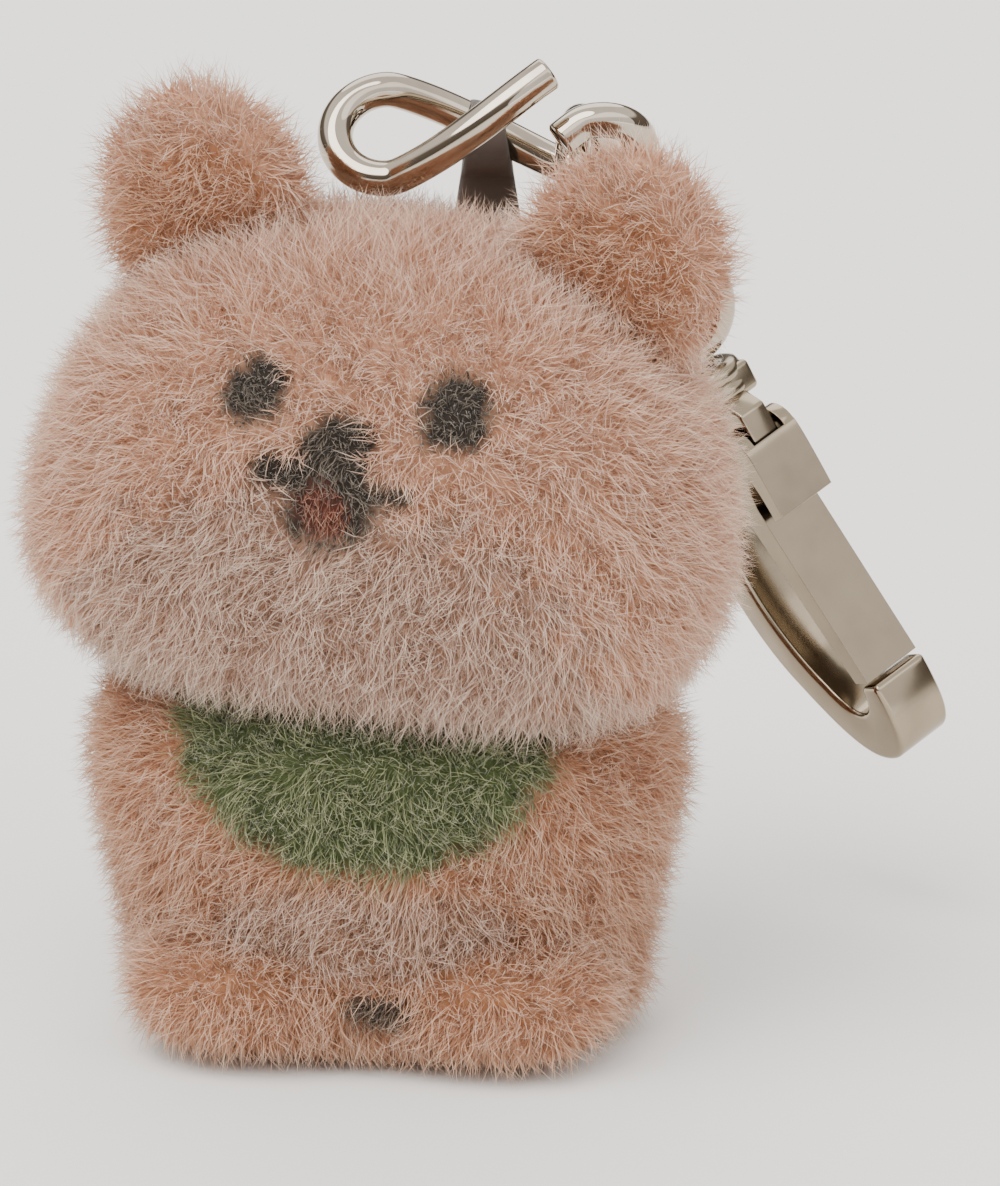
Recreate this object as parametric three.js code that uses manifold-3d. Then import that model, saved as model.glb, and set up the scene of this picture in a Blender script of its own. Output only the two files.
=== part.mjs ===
// A plush keychain: a stuffed bear with a ribbon loop at its crown, a bent-open twisted link,
// a connecting link and a swivel lobster clasp that hangs beside the head.
// Millimetres, +Z up. The bear faces -Y and the origin is the middle of its base panel.

import * as THREE from 'three';
import { mergeVertices } from 'three/addons/utils/BufferGeometryUtils.js';
import Module from 'manifold-3d';

// ---- driving dimensions -------------------------------------------------------------------

const gap = 0.3; // between pieces that touch, seat in or turn on one another
const cover = 1.6; // pile fabric, pressed flat

const headWidth = 44;
const headDepth = 35;
const headHeight = 31.8;
const headCentre = 37; // above the base
const headTilt = 5.5; // degrees, towards the bear's left
const headTurn = 4; // degrees about the vertical, towards the bear's left
const headSquareness = 2.65; // 2 is an ellipsoid, more is boxier
const cheekFullness = 0.16; // widening of the lower half of the head
const headSeam = 4.5; // behind the middle of the head, where front and back covers meet

const earWidth = 14.8;
const earHeight = 17;
const earThickness = 7;
const earSpread = 13.6; // of each ear's middle from the middle of the head
const earRise = 15.2;
const earForward = 1.2; // of the ear's middle plane, behind the middle of the head
const earSplay = 15; // degrees
const earCover = 1.2;

const bodyTurn = 10; // degrees about the vertical, towards the bear's left
const bodyWidth = 39;
const bodyDepth = 29.5;
const bodyFootWidth = 34.4;
const bodyBaseWidth = 29;
const bodyFootRise = 5;
const shoulderHeight = 17;
const shoulderRadius = 6;
const bodyTop = 26;
const hem = 2.4; // turned under the body, round the base panel

const footWidth = 16;
const footLength = 14;
const footHeight = 9.6;
const footSpread = 7.9; // of each foot's middle from the middle of the body
const footForward = 7.6;

const ribbonWidth = 3.2;
const ribbonThickness = 0.6;
const ribbonTail = 4.5; // sewn in below the crown
const strandSlope = 2; // room for the link's far strand, which slopes through the loop

const wire = 2.3; // chain wire
const linkInnerLength = 17.2;
const linkInnerWidth = 5;
const linkTwistLeft = 43; // degrees, of the open link's two bends about its length
const linkTwistRight = 151;
const linkCut = 4.4; // of the open link's cut from the link's middle
const linkOpenUp = 2.1; // how far its two cut ends are sprung apart
const linkOpenDown = 2.6;
const linkPlace = new THREE.Vector3(6.4, 9.6, 56.3); // along, behind and above
const linkRise = 3; // degrees, up to the right
const chainYaw = 17; // degrees, of the whole chain about the vertical
const linkHang = new THREE.Vector3(0.27, 0.74, -0.61).normalize(); // connecting link's length
const buttGap = 0.4;
const linkPlay = 0.55; // between the wires of links that hang on one another
const chainClearance = 0.4; // between the chain and the head

const eyeWire = 2;
const eyeInner = 5.2;
const stem = 2.2;
const rivetHead = 3.2;
const rivetHeadThickness = 0.9;
const claspLean = 26.5; // degrees from hanging straight
const claspTurn = -52; // degrees about its own length
const claspThickness = 4.6;
const collarWidth = 5.4;
const collarHeight = 2.6;
const claspLength = 28.8;
const spineBulge = 6.2; // outer face of the spine from the swivel's axis
const spineThickness = 2.4;
const noseThickness = 1.7;
const noseReach = 5.2; // outer face of the hook's end from the swivel's axis
const noseRise = 5.6; // of the hook's end above the clasp's lowest point
const pivotOut = 2.6; // of the gate's pin from the swivel's axis
const pivotDown = 5.6;
const pin = 1.2;
const lugThickness = 2.2;
const lugRadius = 1.3;
const gateThickness = 1.9;
const gateTipThickness = 1.4;
const gateWaist = 2.3; // outer face of the gate below its pin, from the swivel's axis
const gateWaistDown = 9.5;
const gateWall = 0.7;
const tabThickness = 1.1;
const tabReach = 4.7;
const tabLength = 10.4;
const springThickness = 0.35;

const linkLength = linkInnerLength + 2 * wire;
const linkWidth = linkInnerWidth + 2 * wire;

// ---- helpers ------------------------------------------------------------------------------

const wasm = await Module();
wasm.setup();

const degrees = THREE.MathUtils.degToRad;

function solid(geometry, matrix = new THREE.Matrix4()) {
  const bare = geometry.clone();
  bare.applyMatrix4(matrix);
  bare.deleteAttribute('normal');
  bare.deleteAttribute('uv');
  const merged = mergeVertices(bare, 1e-4);
  return new wasm.Manifold(new wasm.Mesh({
    numProp: 3,
    vertProperties: new Float32Array(merged.attributes.position.array),
    triVerts: new Uint32Array(merged.index.array),
  }));
}

function box(low, high, matrix) {
  const size = high.clone().sub(low);
  const geometry = new THREE.BoxGeometry(size.x, size.y, size.z);
  const middle = low.clone().add(high).multiplyScalar(0.5);
  return solid(geometry.translate(middle.x, middle.y, middle.z), matrix);
}

// A rod along z from bottom to top.
function rod(diameter, bottom, top) {
  const geometry = new THREE.CylinderGeometry(diameter / 2, diameter / 2, top - bottom, 24);
  return solid(geometry.rotateX(Math.PI / 2).translate(0, 0, (top + bottom) / 2));
}

// A flat outline in x and z, given thickness in y about y = 0.
function plate(outline, thickness, curveSegments, matrix) {
  const geometry = new THREE.ExtrudeGeometry(outline, {
    depth: thickness, bevelEnabled: false, curveSegments,
  });
  return solid(geometry.translate(0, 0, -thickness / 2).rotateX(Math.PI / 2), matrix);
}

function wireAlong(curve, diameter, steps) {
  const halfSides = 5;
  const section = new THREE.Shape().absarc(0, 0, diameter / 2, 0, 2 * Math.PI);
  return solid(new THREE.ExtrudeGeometry(section, {
    steps, curveSegments: halfSides, bevelEnabled: false, extrudePath: curve,
  }));
}

const fabric = (colour) => new THREE.MeshStandardMaterial({ color: colour, roughness: 1 });
const metal = (colour) => new THREE.MeshStandardMaterial({
  color: colour, roughness: 0.15, metalness: 1,
});

const orangePile = fabric(0xc98f68);
const stuffing = fabric(0xe8e4dc);
const ribbonCloth = fabric(0x8a7767);
const nickel = metal(0xb8afa3);
const steel = metal(0x9a948c);

function add(group, name, shape, material) {
  const made = shape.getMesh();
  const geometry = new THREE.BufferGeometry();
  geometry.setAttribute('position', new THREE.BufferAttribute(made.vertProperties, 3));
  geometry.setIndex(new THREE.BufferAttribute(made.triVerts, 1));
  const mesh = new THREE.Mesh(geometry, material);
  mesh.name = name;
  group.add(mesh);
}

// Front and back halves of a shell, cut at a seam plane of constant y.
function halves(shell, seam, matrix) {
  const far = 100;
  const low = new THREE.Vector3(-far, -far, -far);
  const high = new THREE.Vector3(far, far, far);
  const front = box(low, high.clone().setY(seam - gap / 2), matrix);
  const back = box(low.clone().setY(seam + gap / 2), high, matrix);
  return [shell.intersect(front), shell.intersect(back)];
}

// ---- soft forms ---------------------------------------------------------------------------

// A rounded ball with its poles up and down, squarer than an ellipsoid.
function ball(width, depth, height, squareness, fullness, around, rings) {
  const geometry = new THREE.SphereGeometry(1, around, rings).rotateX(Math.PI / 2);
  const points = geometry.attributes.position;
  const p = new THREE.Vector3();
  for (let i = 0; i < points.count; i += 1) {
    p.fromBufferAttribute(points, i);
    const power = Math.abs(p.x) ** squareness + Math.abs(p.y) ** squareness + Math.abs(p.z) ** squareness;
    p.multiplyScalar(power ** (-1 / squareness));
    points.setXYZ(i, (p.x * width / 2) * (1 - fullness * p.z), p.y * depth / 2, p.z * height / 2);
  }
  return geometry;
}

function headForm(inset) {
  return ball(headWidth - 2 * inset, headDepth - 2 * inset, headHeight - 2 * inset,
    headSquareness, cheekFullness, 30, 18);
}

function earForm(inset) {
  return ball(earWidth - 2 * inset, earThickness - 2 * inset, earHeight - 2 * inset, 2, 0, 16, 10);
}

// The body is turned about z, then made narrower front to back. Two soft feet bulge at its front.
function bodyForm(inset) {
  const side = bodyWidth / 2 - inset;
  const foot = bodyFootWidth / 2 - inset;
  const path = new THREE.Path();
  path.moveTo(0, inset);
  path.lineTo(bodyBaseWidth / 2, inset);
  path.quadraticCurveTo(foot, inset, foot, bodyFootRise + inset / 2);
  path.lineTo(side, shoulderHeight);
  path.quadraticCurveTo(side, bodyTop - inset, side - shoulderRadius, bodyTop - inset);
  path.lineTo(0, bodyTop - inset);
  const turned = new THREE.LatheGeometry(path.getPoints(5), 32).rotateX(Math.PI / 2);
  let form = solid(turned.scale(1, (bodyDepth / 2 - inset) / side, 1));
  for (const sign of [1, -1]) {
    const sole = ball(footWidth - 2 * inset, footLength - 2 * inset, footHeight - 2 * inset, 2.4, 0, 20, 12);
    form = form.add(solid(sole.translate(sign * footSpread, -footForward, footHeight / 2)));
  }
  return form;
}

// ---- the bear -----------------------------------------------------------------------------

const bear = new THREE.Group();
const head = new THREE.Group();
head.position.z = headCentre;
head.rotation.set(0, degrees(headTilt), degrees(headTurn), 'ZYX');
head.updateMatrix();
bear.add(head);
const torso = new THREE.Group();
torso.rotation.z = degrees(bodyTurn);
torso.updateMatrix();
bear.add(torso);

function makeHead() {
  const outside = solid(headForm(0));
  const shell = outside.subtract(solid(headForm(cover)));
  const slot = ribbonTailBox(gap, 0, toHead);
  const [front, back] = halves(shell.subtract(slot), headSeam);
  add(head, 'head_front_cover', front, orangePile);
  add(head, 'head_back_cover', back, orangePile);
  add(head, 'head_filling', solid(headForm(cover + gap)).subtract(slot), stuffing);
}

function makeEar(side, label) {
  const frame = new THREE.Matrix4().makeRotationY(degrees(side * earSplay));
  frame.setPosition(side * earSpread, earForward, earRise);
  const headAndGap = solid(headForm(-gap));
  const outside = solid(earForm(0), frame);
  const shell = outside.subtract(solid(earForm(earCover), frame)).subtract(headAndGap);
  const [front, back] = halves(shell, 0, frame);
  add(head, `ear_${label}_front_cover`, front, orangePile);
  add(head, `ear_${label}_back_cover`, back, orangePile);
  const filling = solid(earForm(earCover + gap), frame).subtract(headAndGap);
  add(head, `ear_${label}_filling`, filling, stuffing);
}

function basePanelOutline(margin) {
  const outline = new THREE.Shape();
  const depthShare = bodyDepth / bodyWidth;
  outline.absellipse(0, 0, bodyBaseWidth / 2 - hem + margin,
    (bodyBaseWidth / 2 - hem) * depthShare + margin, 0, 2 * Math.PI);
  return outline;
}

function makeBody() {
  const headAndGap = solid(headForm(-gap), torso.matrix.clone().invert().multiply(head.matrix));
  const panel = (margin) => solid(new THREE.ExtrudeGeometry(basePanelOutline(margin), {
    depth: cover, bevelEnabled: false, curveSegments: 20,
  }));
  const shell = bodyForm(0).subtract(bodyForm(cover));
  const opened = shell.subtract(headAndGap).subtract(panel(gap));
  const [front, back] = halves(opened, 0);
  add(torso, 'body_front_cover', front, orangePile);
  add(torso, 'body_back_cover', back, orangePile);
  add(torso, 'base_panel', panel(0), orangePile);
  add(torso, 'body_filling', bodyForm(cover + gap).subtract(headAndGap), stuffing);
}

function makeRibbon() {
  const outer = ribbonHole / 2 + ribbonThickness;
  const ring = new THREE.Shape().absarc(0, 0, outer, 0, 2 * Math.PI);
  ring.holes.push(new THREE.Path().absarc(0, 0, ribbonHole / 2, 0, 2 * Math.PI, true));
  const loop = plate(ring, ribbonWidth, 12, new THREE.Matrix4().makeRotationZ(Math.PI / 2));
  const tail = ribbonTailBox(0, -ribbonHole / 2 - ribbonThickness / 2);
  const ribbon = new THREE.Group();
  ribbonFrame.decompose(ribbon.position, ribbon.quaternion, ribbon.scale);
  bear.add(ribbon);
  add(ribbon, 'hanging_loop', loop.add(tail), ribbonCloth);
}

// ---- the chain ----------------------------------------------------------------------------

// The middle line of a link along x: two straight strands and two round bends. It is cut on the
// near strand, twisted from one bend to the other, and its cut ends can be sprung apart.
class LinkLine extends THREE.Curve {
  constructor({ cut, missing, twistLeft, twistRight, openUp, openDown }) {
    super();
    Object.assign(this, { cut, missing, twistLeft, twistRight, openUp, openDown });
    this.radius = (linkWidth - wire) / 2;
    this.half = (linkLength - linkWidth) / 2;
  }

  // Place on the flat link, by distance from the cut, first towards the left bend.
  flat(distance) {
    const { radius, half, cut } = this;
    const bend = Math.PI * radius;
    let left = distance - (cut + half);
    if (left < 0) return [cut - distance, -radius];
    if (left < bend) {
      const angle = left / radius;
      return [-half - radius * Math.sin(angle), -radius * Math.cos(angle)];
    }
    left -= bend;
    if (left < 2 * half) return [left - half, radius];
    left -= 2 * half;
    if (left < bend) {
      const angle = left / radius;
      return [half + radius * Math.sin(angle), radius * Math.cos(angle)];
    }
    return [half - (left - bend), -radius];
  }

  getPoint(t, target = new THREE.Vector3()) {
    const around = 2 * Math.PI * this.radius + 4 * this.half - this.missing;
    const [along, across] = this.flat(t * around + this.missing / 2);
    const share = THREE.MathUtils.clamp((along / this.half + 1) / 2, 0, 1);
    const turn = degrees(THREE.MathUtils.lerp(this.twistLeft, this.twistRight, share));
    const farMiddle = (Math.PI * this.radius + 2 * this.half + this.cut) / around;
    const sprung = t < farMiddle
      ? this.openUp * (1 - t / farMiddle) ** 2
      : -this.openDown * ((t - farMiddle) / (1 - farMiddle)) ** 2;
    return target.set(along, across * Math.sin(turn), across * Math.cos(turn) + sprung);
  }
}

const openLink = new LinkLine({
  cut: linkCut,
  missing: buttGap,
  twistLeft: linkTwistLeft,
  twistRight: linkTwistRight,
  openUp: linkOpenUp,
  openDown: linkOpenDown,
});
const closedLink = new LinkLine({
  cut: 0, missing: buttGap, twistLeft: 0, twistRight: 0, openUp: 0, openDown: 0,
});

const chain = new THREE.Group();
chain.rotation.z = degrees(chainYaw);

const openFrame = new THREE.Group();
openFrame.position.copy(linkPlace);
openFrame.rotation.y = degrees(-linkRise);
openFrame.updateMatrix();
chain.add(openFrame);

// The connecting link hangs from the lowest point of the open link's right bend.
const lowest = new THREE.Vector3(
  openLink.half,
  openLink.radius * Math.sin(degrees(linkTwistRight)),
  openLink.radius * Math.cos(degrees(linkTwistRight)),
).applyMatrix4(openFrame.matrix);
const bendToWire = linkLength / 2 - wire - wire / 2 - linkPlay;
const along = linkHang;
const facing = new THREE.Vector3(1, 0, 0).addScaledVector(along, -along.x).normalize();
const across = new THREE.Vector3().crossVectors(facing, along);
const connectingFrame = new THREE.Matrix4()
  .makeBasis(along, facing.clone().negate(), across)
  .setPosition(lowest.clone().addScaledVector(along, bendToWire));

// How far a point is outside the head, measured towards the head's middle.
function outsideHead(point) {
  const p = point.clone().applyMatrix4(head.matrix.clone().invert());
  const z = p.z / (headHeight / 2);
  const x = p.x / ((headWidth / 2) * (1 - cheekFullness * z));
  const y = p.y / (headDepth / 2);
  const power = Math.abs(x) ** headSquareness + Math.abs(y) ** headSquareness + Math.abs(z) ** headSquareness;
  return p.length() * (1 - power ** (-1 / headSquareness));
}

// The chain lies on the head: it is lifted until both links clear it.
chain.updateMatrix();
const wirePoints = [
  ...openLink.getPoints(60).map((p) => p.applyMatrix4(openFrame.matrix)),
  ...closedLink.getPoints(60).map((p) => p.applyMatrix4(connectingFrame)),
].map((p) => p.applyMatrix4(chain.matrix));
while (wirePoints.some((p) => outsideHead(p) < wire / 2 + chainClearance)) {
  const step = 0.1;
  wirePoints.forEach((p) => p.setZ(p.z + step));
  chain.position.z += step;
}

// The ribbon's frame: its loop is round the open link's far strand, its tail goes down the seam.
const strandTurn = degrees((linkTwistLeft + linkTwistRight) / 2);
const strandReach = (linkWidth - wire) / 2;
const strand = new THREE.Vector3(
  linkPlace.x,
  linkPlace.y + strandReach * Math.sin(strandTurn),
  linkPlace.z + strandReach * Math.cos(strandTurn) + chain.position.z,
).applyAxisAngle(new THREE.Vector3(0, 0, 1), degrees(chainYaw));
const ribbonHole = wire + 2 * gap + strandSlope;
const crown = headCentre + headHeight / 2;

const ribbonFrame = new THREE.Matrix4().makeRotationZ(degrees(chainYaw)).setPosition(strand);
const toHead = head.matrix.clone().invert().multiply(ribbonFrame);
const tailBottom = crown - ribbonTail - strand.z;

// The ribbon's doubled tail, with a margin all round.
function ribbonTailBox(margin, top, matrix) {
  return box(
    new THREE.Vector3(-ribbonWidth / 2 - margin, -ribbonThickness - margin, tailBottom - margin),
    new THREE.Vector3(ribbonWidth / 2 + margin, ribbonThickness + margin, top),
    matrix,
  );
}

function makeLinks() {
  add(openFrame, 'open_link', wireAlong(openLink, wire, 64), nickel);
  const connecting = new THREE.Group();
  connectingFrame.decompose(connecting.position, connecting.quaternion, connecting.scale);
  chain.add(connecting);
  add(connecting, 'connecting_link', wireAlong(closedLink, wire, 48), nickel);
}

// ---- the clasp ----------------------------------------------------------------------------

// The clasp's own frame: z up its length through the swivel, x towards the gate, and the
// origin in the middle of the collar's top.
const eyeRadius = (eyeInner + eyeWire) / 2;
const eyeCentre = gap + eyeWire / 2 + eyeRadius;
const clasp = new THREE.Group();
clasp.quaternion
  .setFromAxisAngle(new THREE.Vector3(0, 1, 0), degrees(-claspLean))
  .multiply(new THREE.Quaternion().setFromAxisAngle(new THREE.Vector3(0, 0, 1), degrees(claspTurn)));
const claspUp = new THREE.Vector3(0, 0, 1).applyQuaternion(clasp.quaternion);
const held = lowest.clone().addScaledVector(along, bendToWire * 2 + (wire - eyeWire) / 2);
clasp.position.copy(held).addScaledVector(claspUp, -(eyeCentre + eyeRadius));
chain.add(clasp);

function makeEye() {
  const ring = solid(new THREE.TorusGeometry(eyeRadius, eyeWire / 2, 10, 24)
    .rotateX(Math.PI / 2).translate(0, 0, eyeCentre));
  const post = rod(stem, -collarHeight - gap - rivetHeadThickness, gap + eyeWire / 2);
  const headTop = -collarHeight - gap;
  const rivet = rod(rivetHead, headTop - rivetHeadThickness, headTop);
  const eye = new THREE.Group();
  eye.quaternion.copy(clasp.quaternion);
  eye.rotateZ(degrees(-claspTurn));
  eye.position.copy(clasp.position);
  chain.add(eye);
  add(eye, 'swivel_eye', ring.add(post).add(rivet), nickel);
}

const bottom = -claspLength;
const noseTop = bottom + noseRise;

// The C-shaped hook: collar, bulging spine, round end and nose, with the mouth towards the gate.
function hookOutline() {
  const half = collarWidth / 2;
  const nose = noseReach - noseThickness;
  const inner = spineThickness - spineBulge;
  const outline = new THREE.Shape();
  outline.moveTo(half, 0);
  outline.lineTo(-half, 0);
  outline.lineTo(-half - 0.2, -collarHeight);
  outline.bezierCurveTo(-spineBulge, -pivotDown - 1.4, -spineBulge - 0.6, bottom + 12.3,
    -spineBulge + 2.6, bottom + 6.5);
  outline.bezierCurveTo(-spineBulge + 4.2, bottom + 3.8, 0, bottom, noseReach - 2.3, bottom);
  outline.bezierCurveTo(noseReach - 0.2, bottom, noseReach + 0.3, bottom + 2.3, noseReach, noseTop);
  outline.lineTo(nose, noseTop);
  outline.bezierCurveTo(nose, bottom + 3.1, 1.4, bottom + 2.5, inner + 3.4, bottom + 5.8);
  outline.bezierCurveTo(inner + 0.4, bottom + 10, inner - 0.7, -2 * pivotDown - 0.8,
    inner + 2.2, -pivotDown);
  outline.quadraticCurveTo(inner + 2.6, -collarHeight - 1.9, -half + 0.7, -collarHeight);
  outline.lineTo(pivotOut - lugRadius, -collarHeight);
  outline.absarc(pivotOut, -pivotDown, lugRadius, Math.PI, 2 * Math.PI);
  outline.quadraticCurveTo(pivotOut + lugRadius, -collarHeight, half, 0);
  return outline;
}

const gateTop = -pivotDown;
const gateTip = noseTop + gap;
const gateOutAtTip = noseReach - 0.5;

function crossPin(diameter, length) {
  const geometry = new THREE.CylinderGeometry(diameter / 2, diameter / 2, length, 20);
  return solid(geometry.translate(pivotOut, 0, -pivotDown));
}

function makeHook() {
  const far = 20;
  const slimLug = (side) => box(
    new THREE.Vector3(pivotOut - lugRadius - 0.5, side > 0 ? lugThickness / 2 : -far, -pivotDown - 2),
    new THREE.Vector3(far, side > 0 ? far : -lugThickness / 2, -collarHeight),
  );
  const headRoom = -collarHeight - rivetHeadThickness - 2 * gap;
  const hook = plate(hookOutline(), claspThickness, 10)
    .subtract(rod(stem + 2 * gap, -collarHeight - 1, 1))
    .subtract(rod(rivetHead + 2 * gap, headRoom, -collarHeight))
    .subtract(slimLug(1))
    .subtract(slimLug(-1))
    .subtract(crossPin(pin + 2 * gap, far));
  add(clasp, 'clasp_hook', hook, nickel);
}

// The gate is a channel open towards the spine, with a thumb tab flared from its top.
function gateOutline() {
  const radius = lugRadius + gap;
  const outline = new THREE.Shape();
  outline.moveTo(gateOutAtTip, gateTip);
  outline.lineTo(gateWaist, -gateWaistDown);
  outline.quadraticCurveTo(gateWaist, -gateWaistDown + 1.4, gateWaist + 0.7, gateTop - radius);
  outline.quadraticCurveTo(tabReach - tabThickness - 0.2, -7.6, tabReach - tabThickness, -tabLength);
  outline.lineTo(tabReach, -tabLength + 0.2);
  outline.quadraticCurveTo(tabReach - 0.2, gateTop, pivotOut + radius, gateTop + 0.4);
  outline.absarc(pivotOut, gateTop, radius, 0.3, Math.PI);
  outline.lineTo(gateWaist - gateThickness, -gateWaistDown);
  outline.lineTo(gateOutAtTip - gateTipThickness, gateTip);
  return outline;
}

function makeGate() {
  const cheeks = lugThickness / 2 + gap;
  const deep = 4;
  const channelEnd = gateTip + 1.6;
  const belowLug = gateTop - lugRadius - gap;
  const channel = new THREE.Shape();
  channel.moveTo(-deep, channelEnd);
  channel.lineTo(gateOutAtTip - 0.3 - gateWall, channelEnd);
  channel.lineTo(gateWaist - gateWall, -gateWaistDown);
  channel.lineTo(gateWaist - gateWall, belowLug + 0.1);
  channel.lineTo(-deep, belowLug + 0.1);
  const roomForLug = box(
    new THREE.Vector3(-deep, -cheeks, belowLug),
    new THREE.Vector3(pivotOut + lugRadius + gap, cheeks, 0),
  );
  const gate = plate(gateOutline(), claspThickness, 8)
    .subtract(plate(channel, claspThickness - 2 * gateWall, 8))
    .subtract(roomForLug)
    .subtract(crossPin(pin + 2 * gap, 20));
  add(clasp, 'clasp_gate', gate, nickel);
  add(clasp, 'gate_pin', crossPin(pin, claspThickness), steel);
}

// A leaf against the lug's inner face that presses the channel's floor outwards.
function makeSpring() {
  const leaf = new THREE.Shape();
  const back = pivotOut - lugRadius - gap;
  const top = -pivotDown + 0.9;
  const tip = -15;
  leaf.moveTo(back, top);
  leaf.quadraticCurveTo(back - 0.1, -gateWaistDown, gateWaist, tip);
  leaf.lineTo(gateWaist - springThickness, tip);
  leaf.quadraticCurveTo(back - 0.1 - springThickness, -gateWaistDown, back - springThickness, top);
  add(clasp, 'gate_spring', plate(leaf, lugThickness - 0.2, 6), steel);
}

makeHead();
makeEar(1, 'left');
makeEar(-1, 'right');
makeBody();
makeRibbon();
makeLinks();
makeEye();
makeHook();
makeGate();
makeSpring();

const keychain = new THREE.Group();
keychain.add(bear);
keychain.add(chain);

export default keychain;
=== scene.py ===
import math

import bmesh
import bpy
import numpy as np
from mathutils import Matrix, Vector


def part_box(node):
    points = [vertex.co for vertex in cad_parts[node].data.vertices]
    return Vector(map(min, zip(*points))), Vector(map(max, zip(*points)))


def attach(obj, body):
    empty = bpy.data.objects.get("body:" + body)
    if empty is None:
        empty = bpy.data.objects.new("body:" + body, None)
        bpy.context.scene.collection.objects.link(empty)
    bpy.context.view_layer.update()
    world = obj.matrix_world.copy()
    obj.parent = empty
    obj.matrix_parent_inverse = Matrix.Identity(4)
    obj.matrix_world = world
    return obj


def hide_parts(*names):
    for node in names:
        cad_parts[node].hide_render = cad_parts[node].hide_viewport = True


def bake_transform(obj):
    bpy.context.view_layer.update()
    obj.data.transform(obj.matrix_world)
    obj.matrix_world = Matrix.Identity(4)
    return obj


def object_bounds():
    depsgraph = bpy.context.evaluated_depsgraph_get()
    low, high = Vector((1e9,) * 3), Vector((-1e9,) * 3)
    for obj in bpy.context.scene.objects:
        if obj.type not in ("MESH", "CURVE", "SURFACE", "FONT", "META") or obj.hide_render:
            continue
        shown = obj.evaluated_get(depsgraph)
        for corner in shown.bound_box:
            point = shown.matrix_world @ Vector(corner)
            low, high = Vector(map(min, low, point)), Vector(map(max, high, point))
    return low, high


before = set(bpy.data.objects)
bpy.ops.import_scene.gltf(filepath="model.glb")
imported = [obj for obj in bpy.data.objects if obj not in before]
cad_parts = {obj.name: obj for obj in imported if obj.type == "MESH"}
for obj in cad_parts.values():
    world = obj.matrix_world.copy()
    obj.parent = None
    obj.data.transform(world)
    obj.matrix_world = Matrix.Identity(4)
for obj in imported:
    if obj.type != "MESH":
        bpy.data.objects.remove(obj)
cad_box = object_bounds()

MM = 0.001
scene = bpy.context.scene
rng = np.random.default_rng(11)

# ---- sizes in millimetres, the same as the model's -----------------------------------------

HEAD = (44.0, 35.0, 31.8)
HEAD_CENTRE = 37.0
HEAD_TILT = 5.5
HEAD_TURN = 4.0
HEAD_SQUARENESS = 2.65
CHEEK_FULLNESS = 0.16
HEAD_SEAM = 4.5

EAR = (14.8, 7.0, 17.0)
EAR_SPREAD = 13.6
EAR_RISE = 15.2
EAR_FORWARD = 1.2
EAR_SPLAY = 15.0

BODY_TURN = 10.0
BODY_WIDTH = 39.0
BODY_DEPTH = 29.5
BODY_FOOT_WIDTH = 34.4
BODY_BASE_WIDTH = 29.0
BODY_FOOT_RISE = 5.0
SHOULDER_HEIGHT = 17.0
SHOULDER_RADIUS = 6.0
BODY_TOP = 26.0
HEM = 2.4
FOOT = (16.0, 14.0, 9.6)
FOOT_SPREAD = 7.9
FOOT_FORWARD = 7.6

SKIN = 1.15  # the woven backing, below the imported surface, before it is stuffed
EAR_SKIN = 1.05
FLOOR_GAP = 0.02

WIRE = 2.3
LINK_LENGTH = 17.2 + 2 * WIRE
LINK_WIDTH = 5.0 + 2 * WIRE
TWIST_LEFT = 43.0
TWIST_RIGHT = 151.0
LINK_CUT = 4.4
OPEN_UP = 2.1
OPEN_DOWN = 2.6
LINK_PLACE = Vector((6.4, 9.6, 56.3))
LINK_RISE = 3.0
CHAIN_YAW = 17.0
LINK_HANG = Vector((0.27, 0.74, -0.61)).normalized()
BUTT_GAP = 0.4
LINK_PLAY = 0.55
GAP = 0.3

EYE_WIRE = 2.0
EYE_INNER = 5.2
STEM = 2.2
CLASP_LEAN = 26.5
CLASP_TURN = -52.0
CLASP_THICKNESS = 4.6
COLLAR_WIDTH = 5.4
COLLAR_HEIGHT = 2.6
CLASP_LENGTH = 28.8
SPINE_BULGE = 6.2
SPINE_THICKNESS = 2.4
NOSE_THICKNESS = 1.7
NOSE_REACH = 5.2
NOSE_RISE = 5.6
PIVOT_OUT = 2.6
PIVOT_DOWN = 5.6
LUG_THICKNESS = 2.2
LUG_RADIUS = 1.3
GATE_THICKNESS = 1.9
GATE_TIP_THICKNESS = 1.4
GATE_WAIST = 2.3
GATE_WAIST_DOWN = 9.5
GATE_WALL = 0.7
TAB_THICKNESS = 1.1
TAB_REACH = 4.7
TAB_LENGTH = 10.4

# The woven ribbon is thinner and closer on the wire than the model's, and is sewn in deeper.
RIBBON_WIDTH = 3.2
RIBBON_THICKNESS = 0.45
RIBBON_HOLE = WIRE + 2 * GAP + 1.0
RIBBON_TAIL = 7.0

# ---- printed areas and painted shade: centre and half sizes in x and z, millimetres ---------

EYES = (((-5.6, 8.1), (2.1, 2.15)), ((6.9, 8.5), (2.4, 2.2)))
NOSE = ((0.2, 6.3), (2.2, 1.5))
MOUTH = ((0.0, 2.5), (3.2, 3.1))
MOUTH_CORNERS = (((-3.7, 3.9), (1.5, 0.8)), ((3.9, 3.7), (1.5, 0.8)))
TONGUE = ((-0.3, 1.9), (1.7, 1.55))
# The muzzle: greyer than the coat in its own colour, and darker as painted shade on the lower face.
MUZZLE = ((0.0, -8.5), (16.5, 11.5))
BIB = ((0.0, 22.3), (12.0, 8.2))
BELLY = ((0.0, 10.2), (9.5, 3.2))
# A painted shadow: the dark shade in the gap between the feet, not a stain or a print.
LEG_GAP_SHADOW = ((1.0, 4.7), (2.3, 1.15))
# A darker orange patch on the front of each ear.
EAR_DARKER_FRONT = ((0.0, -0.6), (5.0, 4.9))
PRINT_REACH = 2.0  # printed areas lie in front of this y
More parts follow.
